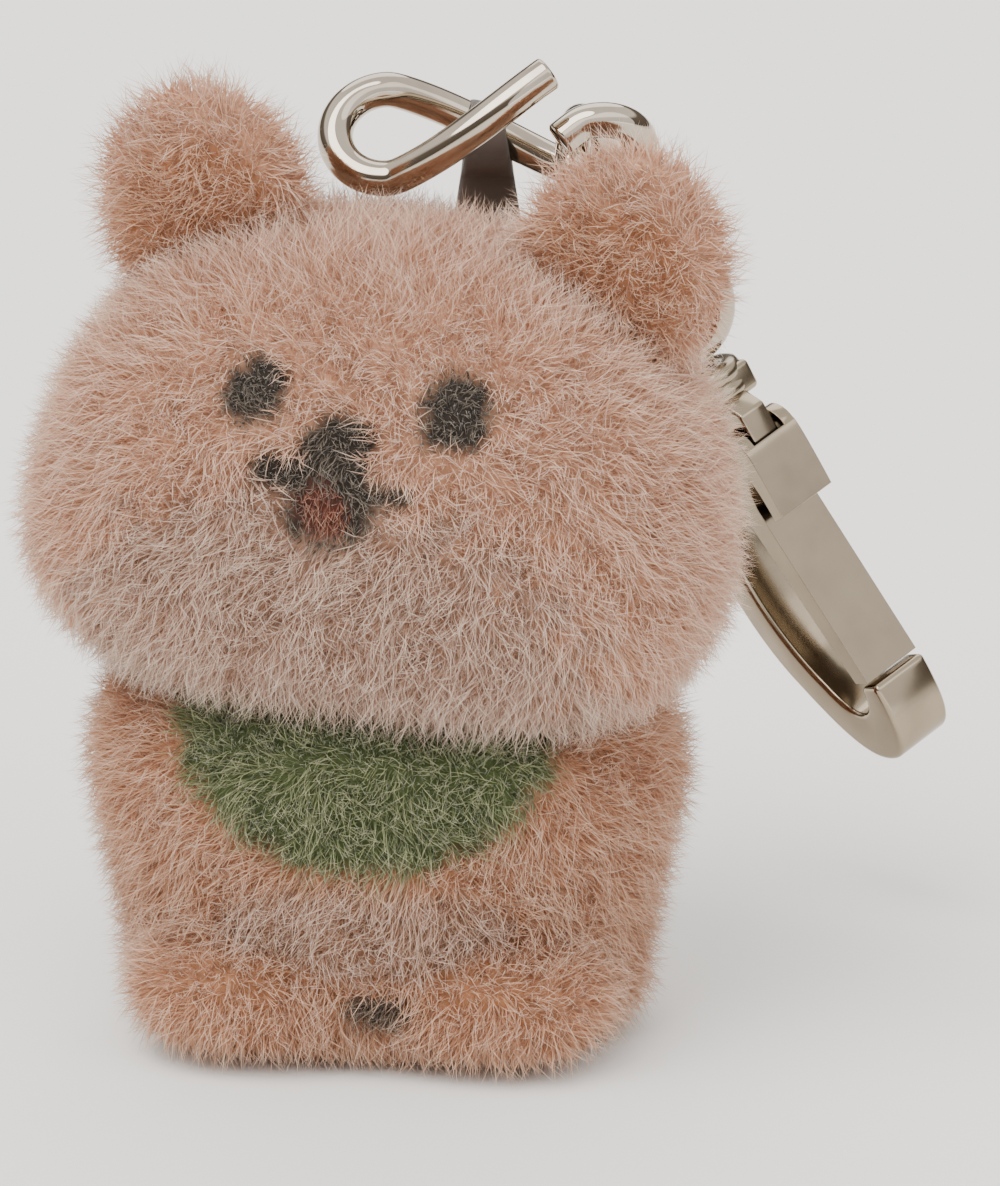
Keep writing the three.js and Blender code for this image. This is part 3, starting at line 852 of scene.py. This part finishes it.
def link_line(samples, cut, twist_left, twist_right, open_up, open_down):
    """The middle line of a link along x: two strands and two bends, cut on the near strand."""
    radius = (LINK_WIDTH - WIRE) / 2
    half = (LINK_LENGTH - LINK_WIDTH) / 2
    bend = math.pi * radius
    # From the cut: along the near strand, round the left bend, back, and round the right bend.
    whole = 2 * bend + 4 * half - BUTT_GAP
    far_middle = (bend + 2 * half + cut) / whole
    points = []
    for i in range(samples + 1):
        t = i / samples
        distance = t * whole + BUTT_GAP / 2
        left = distance - (cut + half)
        if left < 0:
            along, across = cut - distance, -radius
        elif left < bend:
            along = -half - radius * math.sin(left / radius)
            across = -radius * math.cos(left / radius)
        elif left < bend + 2 * half:
            along, across = left - bend - half, radius
        elif left < 2 * bend + 2 * half:
            angle = (left - bend - 2 * half) / radius
            along = half + radius * math.sin(angle)
            across = radius * math.cos(angle)
        else:
            along, across = half - (left - 2 * bend - 2 * half), -radius
        share = min(max((along / half + 1) / 2, 0), 1)
        twist = math.radians(twist_left + (twist_right - twist_left) * share)
        if t < far_middle:
            sprung = open_up * (1 - t / far_middle) ** 2
        else:
            sprung = -open_down * ((t - far_middle) / (1 - far_middle)) ** 2
        points.append(Vector((along, across * math.sin(twist), across * math.cos(twist) + sprung)))
    return points


def relaxed(points, rounds):
    """The line with the kinks between its strands and bends worn smooth."""
    for _ in range(rounds):
        inner = [(a + 2 * b + c) / 4 for a, b, c in zip(points, points[1:], points[2:])]
        points = [points[0], *inner, points[-1]]
    return points


def wire_mesh(name, points, diameter, closed=False, sides=28, chamfer=0.22):
    """Round wire along a line, its sheared ends eased at the rim."""
    count = len(points)
    tangents = []
    for i in range(count):
        if closed:
            step = points[(i + 1) % count] - points[i - 1]
        else:
            step = points[min(i + 1, count - 1)] - points[max(i - 1, 0)]
        tangents.append(step.normalized())
    normal = tangents[0].orthogonal().normalized()
    rings = []
    for i in range(count):
        normal = (normal - normal.dot(tangents[i]) * tangents[i]).normalized()
        rings.append((points[i], normal.copy(), tangents[i].cross(normal), diameter / 2))
    if not closed:
        first, last = rings[0], rings[-1]
        start = [(first[0] + tangents[0] * chamfer * d, first[1], first[2],
                  diameter / 2 - chamfer * (1 - r)) for d, r in ((0.0, 0.0), (0.12, 0.5), (0.5, 0.87))]
        finish = [(last[0] - tangents[-1] * chamfer * d, last[1], last[2],
                   diameter / 2 - chamfer * (1 - r)) for d, r in ((0.5, 0.87), (0.12, 0.5), (0.0, 0.0))]
        rings[0] = (first[0] + tangents[0] * chamfer, *first[1:])
        rings[-1] = (last[0] - tangents[-1] * chamfer, *last[1:])
        rings = start + rings + finish
    verts, faces = [], []
    for centre, a, b, radius in rings:
        for k in range(sides):
            angle = 2 * math.pi * k / sides
            verts.append((centre + (a * math.cos(angle) + b * math.sin(angle)) * radius) * MM)
    total = len(rings)
    for i in range(total if closed else total - 1):
        for k in range(sides):
            a, b = i * sides + k, i * sides + (k + 1) % sides
            c, d = ((i + 1) % total) * sides + (k + 1) % sides, ((i + 1) % total) * sides + k
            faces.append((a, b, c, d))
    if not closed:
        faces.append(tuple(range(sides - 1, -1, -1)))
        faces.append(tuple((total - 1) * sides + k for k in range(sides)))
    return mesh_of(name, verts, faces)


yaw = turn("Z", CHAIN_YAW)
open_frame = Matrix.Translation(LINK_PLACE) @ turn("Y", -LINK_RISE)
link_radius = (LINK_WIDTH - WIRE) / 2
link_half = (LINK_LENGTH - LINK_WIDTH) / 2
lowest = open_frame @ Vector((link_half, link_radius * math.sin(math.radians(TWIST_RIGHT)),
                              link_radius * math.cos(math.radians(TWIST_RIGHT))))
bend_to_wire = LINK_LENGTH / 2 - 1.5 * WIRE - LINK_PLAY
facing = (Vector((1, 0, 0)) - LINK_HANG * LINK_HANG.x).normalized()
across = facing.cross(LINK_HANG)
connecting_frame = Matrix((LINK_HANG, -facing, across)).transposed().to_4x4()
connecting_frame.translation = lowest + LINK_HANG * bend_to_wire
upright = turn("Y", -CLASP_LEAN)
clasp_turned = upright @ turn("Z", CLASP_TURN)
clasp_up = upright.to_3x3() @ Vector((0, 0, 1))
eye_radius = (EYE_INNER + EYE_WIRE) / 2
eye_centre = GAP + EYE_WIRE / 2 + eye_radius
held = lowest + LINK_HANG * (2 * bend_to_wire + (WIRE - EYE_WIRE) / 2)
clasp_place = Matrix.Translation(held - clasp_up * (eye_centre + eye_radius))
clasp_frame = yaw @ clasp_place @ clasp_turned
eye_frame = yaw @ clasp_place @ upright


def fitted(name, mesh, matrix, body, finish, slot, *nodes):
    obj = new_object(name, mesh, placed(matrix))
    if not mesh.materials:
        mesh.materials.append(finish)
    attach(obj, body)
    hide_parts(*nodes)
    return obj


def make_links():
    line = relaxed(link_line(220, LINK_CUT, TWIST_LEFT, TWIST_RIGHT, OPEN_UP, OPEN_DOWN), 6)
    fitted("open_link_wire", wire_mesh("open_link_wire", line, WIRE), yaw @ open_frame,
           "open_link", NICKEL, "chain_metal", "open_link")
    line = relaxed(link_line(200, 0, 0, 0, 0, 0), 4)
    fitted("connecting_link_wire", wire_mesh("connecting_link_wire", line, WIRE),
           yaw @ connecting_frame, "connecting_link", NICKEL, "chain_metal", "connecting_link")


def lathe(profile, sides=48):
    """Verts and faces of a closed turned form about z."""
    verts, faces = [], []
    for radius, z in profile:
        for k in range(sides):
            angle = 2 * math.pi * k / sides
            verts.append((radius * math.cos(angle), radius * math.sin(angle), z))
    for i in range(len(profile) - 1):
        for k in range(sides):
            a, b = i * sides + k, i * sides + (k + 1) % sides
            faces.append((a, b, b + sides, a + sides))
    faces.append(tuple(range(sides - 1, -1, -1)))
    faces.append(tuple((len(profile) - 1) * sides + k for k in range(sides)))
    return verts, faces


def joined(name, *pieces):
    verts, faces = [], []
    for v, f in pieces:
        start = len(verts)
        verts += [tuple(p) for p in v]
        faces += [tuple(i + start for i in face) for face in f]
    return mesh_of(name, [Vector(v) * MM for v in verts], faces)


def make_eye():
    ring = [Vector((eye_radius * math.cos(a), 0, eye_centre + eye_radius * math.sin(a)))
            for a in np.linspace(0, 2 * math.pi, 72, endpoint=False)]
    mesh = wire_mesh("ring", ring, EYE_WIRE, closed=True)
    verts = [tuple(v.co / MM) for v in mesh.vertices]
    faces = [tuple(p.vertices) for p in mesh.polygons]
    r = STEM / 2
    rivet = 1.6
    low = -COLLAR_HEIGHT - GAP - 0.9
    post = lathe([(rivet * 0.8, low), (rivet, low + 0.25), (rivet, low + 0.75), (r, low + 0.9),
                  (r, -0.2), (r + 0.15, 0.35), (r + 0.45, 0.75), (r + 0.2, 1.3)], 36)
    fitted("swivel_eye_ring", joined("swivel_eye_ring", (verts, faces), post), eye_frame,
           "swivel_eye", NICKEL, "clasp_metal", "swivel_eye")


# ---- clasp --------------------------------------------------------------------------------------

def prism(outline, thickness):
    """A flat outline in x and z with thickness in y."""
    tidy = [p for p, q in zip(outline, outline[-1:] + outline[:-1])
            if math.hypot(p[0] - q[0], p[1] - q[1]) > 1e-4]
    count = len(tidy)
    verts = [(x, -thickness / 2, z) for x, z in tidy] + [(x, thickness / 2, z) for x, z in tidy]
    faces = [tuple(range(count)), tuple(range(2 * count - 1, count - 1, -1))]
    faces += [(k, k + count, (k + 1) % count + count, (k + 1) % count) for k in range(count)]
    return verts, faces


def outward(mesh):
    bm = bmesh.new()
    bm.from_mesh(mesh)
    bmesh.ops.recalc_face_normals(bm, faces=bm.faces)
    bm.to_mesh(mesh)
    bm.free()
    smooth(mesh)
    return mesh


def eased(mesh, radius, segments, angle=35):
    """The mesh with its sharp edges rounded over."""
    obj = new_object("eased", outward(mesh))
    bevel = obj.modifiers.new("bevel", "BEVEL")
    bevel.width = radius * MM
    bevel.segments = segments
    bevel.limit_method = "ANGLE"
    bevel.angle_limit = math.radians(angle)
    bevel.use_clamp_overlap = True
    weighted = obj.modifiers.new("weighted", "WEIGHTED_NORMAL")
    weighted.keep_sharp = False
    graph = bpy.context.evaluated_depsgraph_get()
    out = bpy.data.meshes.new_from_object(obj.evaluated_get(graph))
    bpy.data.objects.remove(obj)
    return out


def in_mm(mesh):
    return [tuple(v.co / MM) for v in mesh.vertices], [tuple(p.vertices) for p in mesh.polygons]


def hook_outline():
    half = COLLAR_WIDTH / 2 - 0.25
    nose = NOSE_REACH - NOSE_THICKNESS
    inner = SPINE_THICKNESS - SPINE_BULGE
    bottom = -CLASP_LENGTH
    nose_top = bottom + NOSE_RISE
    out = [(half, -0.5), (-half, -0.5)]
    p = (-half - 0.2, -COLLAR_HEIGHT)
    out.append(p)
    q = (-SPINE_BULGE + 2.6, bottom + 6.5)
    out += cubic(p, (-SPINE_BULGE, -PIVOT_DOWN - 1.4), (-SPINE_BULGE - 0.6, bottom + 12.3), q, 28)
    p, q = q, (NOSE_REACH - 2.3, bottom)
    out += cubic(p, (-SPINE_BULGE + 4.2, bottom + 3.8), (0, bottom), q, 22)
    p, q = q, (NOSE_REACH, nose_top)
    out += cubic(p, (NOSE_REACH - 0.2, bottom), (NOSE_REACH + 0.3, bottom + 2.3), q, 18)
    p, q = (nose, nose_top), (inner + 3.4, bottom + 5.8)
    out.append(p)
    out += cubic(p, (nose, bottom + 3.1), (1.4, bottom + 2.5), q, 18)
    p, q = q, (inner + 2.2, -PIVOT_DOWN)
    out += cubic(p, (inner + 0.4, bottom + 10), (inner - 0.7, -2 * PIVOT_DOWN - 0.8), q, 26)
    p, q = q, (-half + 0.7, -COLLAR_HEIGHT)
    out += quadratic(p, (inner + 2.6, -COLLAR_HEIGHT - 1.9), q, 6)
    out.append((half, -COLLAR_HEIGHT))
    return out


def make_hook():
    frame_part = eased(joined("hook", prism(hook_outline(), CLASP_THICKNESS)), 0.8, 5)
    lug_top = -COLLAR_HEIGHT + 0.6
    lug = [(PIVOT_OUT - LUG_RADIUS, lug_top)]
    lug += arc((PIVOT_OUT, -PIVOT_DOWN), LUG_RADIUS, math.pi, 2 * math.pi, 20)
    lug += [(PIVOT_OUT + LUG_RADIUS - 0.2, -COLLAR_HEIGHT - 0.6), (COLLAR_WIDTH / 2 - 0.6, lug_top)]
    lug_part = eased(joined("lug", prism(lug, LUG_THICKNESS)), 0.2, 3)
    bore = STEM / 2 + GAP
    r = COLLAR_WIDTH / 2
    h = COLLAR_HEIGHT
    barrel = lathe([(bore, -h + 0.1), (r - 0.5, -h), (r - 0.15, -h + 0.2), (r, -h + 0.6),
                    (r, -h + 1.1), (r - 0.22, -h + 1.25), (r - 0.22, -h + 1.4), (r, -h + 1.55),
                    (r, -0.6), (r - 0.15, -0.22), (r - 0.5, -0.03), (bore + 0.25, 0), (bore, -0.15),
                    (bore, -0.8)], 56)
    whole = outward(joined("clasp_frame", in_mm(frame_part), in_mm(lug_part), barrel))
    fitted("clasp_frame", whole, clasp_frame, "clasp", CAST, "clasp_metal", "clasp_hook")


def gate_outline():
    tip = -CLASP_LENGTH + NOSE_RISE + GAP
    out_at_tip = NOSE_REACH - 0.5
    top = -PIVOT_DOWN
    radius = LUG_RADIUS + GAP
    waist = -GATE_WAIST_DOWN
    out = [(out_at_tip, tip), (GATE_WAIST, waist)]
    p, q = out[-1], (GATE_WAIST + 0.7, top - radius)
    out += quadratic(p, (GATE_WAIST, waist + 1.4), q, 8)
    p, q = q, (TAB_REACH - TAB_THICKNESS, -TAB_LENGTH)
    out += quadratic(p, (TAB_REACH - TAB_THICKNESS - 0.2, -7.6), q, 8)
    p = (TAB_REACH, -TAB_LENGTH + 0.2)
    out.append(p)
    out += quadratic(p, (TAB_REACH - 0.2, top), (PIVOT_OUT + radius, top + 0.4), 12)
    out += arc((PIVOT_OUT, top), radius, 0.3, math.pi, 20)
    out += [(GATE_WAIST - GATE_THICKNESS, waist), (out_at_tip - GATE_TIP_THICKNESS, tip)]
    return out


def cutter(outline, thickness):
    return new_object("cutter", outward(joined("cutter", prism(outline, thickness))))


def make_gate():
    tip = -CLASP_LENGTH + NOSE_RISE + GAP
    out_at_tip = NOSE_REACH - 0.5
    below_lug = -PIVOT_DOWN - LUG_RADIUS - GAP
    deep = -4
    floor = GATE_WAIST - GATE_WALL
    channel = cutter([(deep, tip + 1.6), (out_at_tip - 0.3 - GATE_WALL, tip + 1.6),
                      (floor, -GATE_WAIST_DOWN), (floor, below_lug + 0.1), (deep, below_lug + 0.1)],
                     CLASP_THICKNESS - 2 * GATE_WALL)
    room = cutter([(deep, below_lug), (PIVOT_OUT + LUG_RADIUS + GAP, below_lug),
                   (PIVOT_OUT + LUG_RADIUS + GAP, 0), (deep, 0)], LUG_THICKNESS + 2 * GAP)
    obj = new_object("gate", outward(joined("gate", prism(gate_outline(), CLASP_THICKNESS))))
    for tool in (channel, room):
        cut = obj.modifiers.new("cut", "BOOLEAN")
        cut.operation = "DIFFERENCE"
        cut.solver = "EXACT"
        cut.object = tool
    graph = bpy.context.evaluated_depsgraph_get()
    carved = bpy.data.meshes.new_from_object(obj.evaluated_get(graph))
    for tool in (obj, channel, room):
        bpy.data.objects.remove(tool)
    mesh = eased(carved, 0.28, 3)
    fitted("clasp_gate_plate", mesh, clasp_frame, "gate", CAST, "clasp_metal", "clasp_gate")


def make_pin():
    length = CLASP_THICKNESS
    r = 0.6
    half = length / 2
    verts, faces = lathe([(r * 0.5, -half), (r * 0.85, -half + 0.08), (r, -half + 0.25),
                          (r, half - 0.25), (r * 0.85, half - 0.08), (r * 0.5, half)], 32)
    turned = [(x + PIVOT_OUT, z, -y - PIVOT_DOWN) for x, y, z in verts]
    mesh = outward(joined("gate_pin_rod", (turned, faces)))
    fitted("gate_pin_rod", mesh, clasp_frame, "clasp", STEEL, "spring_steel", "gate_pin")


# ---- ribbon -------------------------------------------------------------------------------------

def make_ribbon():
    """The ribbon: up from the crown, round the open link's far strand, and down again."""
    strand_turn = math.radians((TWIST_LEFT + TWIST_RIGHT) / 2)
    strand = yaw @ Vector((LINK_PLACE.x, LINK_PLACE.y + link_radius * math.sin(strand_turn),
                           LINK_PLACE.z + link_radius * math.cos(strand_turn)))
    crown = HEAD_CENTRE + HEAD[2] / 2
    strand.z -= RIBBON_HOLE / 2 - WIRE / 2 - GAP / 2
    bottom = crown - RIBBON_TAIL - strand.z
    radius = RIBBON_HOLE / 2 + RIBBON_THICKNESS / 2
    throat = RIBBON_THICKNESS / 2 + 0.06
    meet = -radius * 1.22
    line = [(-throat, bottom + (meet - bottom) * t) for t in np.linspace(0, 1, 10)]
    line += cubic(line[-1], (-throat, meet + 0.9), (-radius * 0.98, -radius * 0.7),
                  (-radius, 0), 10)
    line += arc((0, 0), radius, math.pi, 0, 28)[1:]
    right = [(-y, z) for y, z in line[:20]][::-1]
    line += right[1:]
    count = len(line)
    across_steps = 12
    verts, faces, uv = [], [], []
    run = [0.0]
    for a, b in zip(line, line[1:]):
        run.append(run[-1] + math.dist(a, b))
    sides = []
    for i, (y, z) in enumerate(line):
        before, after = line[max(i - 1, 0)], line[min(i + 1, count - 1)]
        dy, dz = after[0] - before[0], after[1] - before[1]
        size = math.hypot(dy, dz)
        normal = (-dz / size, dy / size)
        up = min(max((z - bottom) / (radius - bottom), 0), 1)
        half = RIBBON_WIDTH / 2 * (1.7 - 1.05 * up)
        cup = 0.18 * up
        sides.append((y, z, normal, half, cup))
    for face in (1, -1):
        for (y, z, normal, half, cup), s in zip(sides, run):
            for k in range(across_steps + 1):
                x = half * (2 * k / across_steps - 1)
                edge = (2 * k / across_steps - 1) ** 2
                off = face * RIBBON_THICKNESS / 2 * (1 - 0.45 * edge ** 4) + cup * edge
                verts.append((x, y + normal[0] * off, z + normal[1] * off))
                uv.append((x, s))
    wide = across_steps + 1
    back = count * wide
    for i in range(count - 1):
        for k in range(across_steps):
            a = i * wide + k
            faces.append((a, a + 1, a + wide + 1, a + wide))
            faces.append((back + a, back + a + wide, back + a + wide + 1, back + a + 1))
        for k in (0, across_steps):
            a = i * wide + k
            faces.append((a, a + wide, back + a + wide, back + a))
    for i in (0, count - 1):
        for k in range(across_steps):
            a = i * wide + k
            faces.append((a, back + a, back + a + 1, a + 1))
    mesh = mesh_of("ribbon_loop", [Vector(v) * MM for v in verts], faces)
    layer = mesh.uv_layers.new(name="weave")
    for loop in mesh.loops:
        layer.data[loop.index].uv = uv[loop.vertex_index]
    outward(mesh)
    mesh.transform(placed(Matrix.Translation(strand) @ yaw))
    mesh.materials.append(RIBBON)
    obj = new_object("ribbon_loop", mesh)
    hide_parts("hanging_loop")
    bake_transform(obj)


make_head()
make_ear(1, "left")
make_ear(-1, "right")
make_body()
make_base()
make_links()
make_eye()
make_hook()
make_gate()
make_pin()
make_ribbon()
for slot_of_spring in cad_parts["gate_spring"].material_slots:
    slot_of_spring.material = STEEL


# ---- stage, light and camera --------------------------------------------------------------------

def make_floor():
    radius = 40.0
    ring = [(radius * math.cos(a), radius * math.sin(a), 0)
            for a in np.linspace(0, 2 * math.pi, 64, endpoint=False)]
    mesh = mesh_of("floor", ring, [tuple(range(64))])
    mat, _, _, shader = material("floor")
    shader.inputs["Base Color"].default_value = (0.9, 0.89, 0.87, 1)
    shader.inputs["Roughness"].default_value = 0.9
    mesh.materials.append(mat)
    new_object("floor", mesh)


def make_world():
    """A soft studio: bright overhead, darker round the sides."""
    world = bpy.data.worlds.new("studio")
    scene.world = world
    world.use_nodes = True
    nodes, links = world.node_tree.nodes, world.node_tree.links
    back = nodes["Background"]
    place = nodes.new("ShaderNodeTexCoord")
    split = nodes.new("ShaderNodeSeparateXYZ")
    links.new(place.outputs["Generated"], split.inputs[0])
    shade = ramp(nodes, [(0.0, (1.16, 1.15, 1.12, 1)), (0.06, (1.16, 1.15, 1.12, 1)),
                         (0.1, (0.14, 0.12, 0.1, 1)), (0.46, (0.2, 0.18, 0.16, 1)),
                         (0.56, (1.1, 1.07, 1.02, 1)), (1.0, (1.0, 0.99, 0.97, 1))])
    links.new(split.outputs["Z"], shade.inputs["Fac"])
    links.new(shade.outputs["Color"], back.inputs["Color"])
    back.inputs["Strength"].default_value = 1.35


def sun(name, azimuth, elevation, strength, angle, colour):
    data = bpy.data.lights.new(name, "SUN")
    data.energy = strength
    data.angle = math.radians(angle)
    data.color = colour
    obj = bpy.data.objects.new(name, data)
    a, e = math.radians(azimuth), math.radians(elevation)
    direction = Vector((math.sin(a) * math.cos(e), -math.cos(a) * math.cos(e), math.sin(e)))
    obj.rotation_euler = direction.to_track_quat("Z", "Y").to_euler()
    scene.collection.objects.link(obj)


def make_camera():
    azimuth = math.radians(17)
    elevation = math.radians(17)
    distance = 0.7
    view_height = 76.5 * MM
    aim_right = 7.22
    aim_up = 27.35
    right = Vector((math.cos(azimuth), math.sin(azimuth), 0))
    ahead = Vector((-math.sin(azimuth), math.cos(azimuth), 0))
    look = ahead * math.cos(elevation) - Vector((0, 0, 1)) * math.sin(elevation)
    up = ahead * math.sin(elevation) + Vector((0, 0, 1)) * math.cos(elevation)
    low, high = (Vector(c) for c in cad_box)
    middle = (low + high) / 2
    target = right * aim_right * MM + up * aim_up * MM + look * middle.dot(look)
    data = bpy.data.cameras.new("camera")
    data.sensor_fit = "VERTICAL"
    data.sensor_height = 36
    data.lens = 36 * distance / view_height
    data.clip_start = 0.01
    data.clip_end = 200
    obj = bpy.data.objects.new("camera", data)
    obj.location = target - look * distance
    obj.rotation_euler = look.to_track_quat("-Z", "Y").to_euler()
    scene.collection.objects.link(obj)
    scene.camera = obj


make_floor()
make_world()
sun("key", -25, 55, 3.0, 50, (1.0, 0.98, 0.95))
sun("fill", 55, 25, 1.3, 70, (0.97, 0.98, 1.0))
sun("back", 200, 45, 1.0, 50, (1.0, 0.99, 0.97))
make_camera()
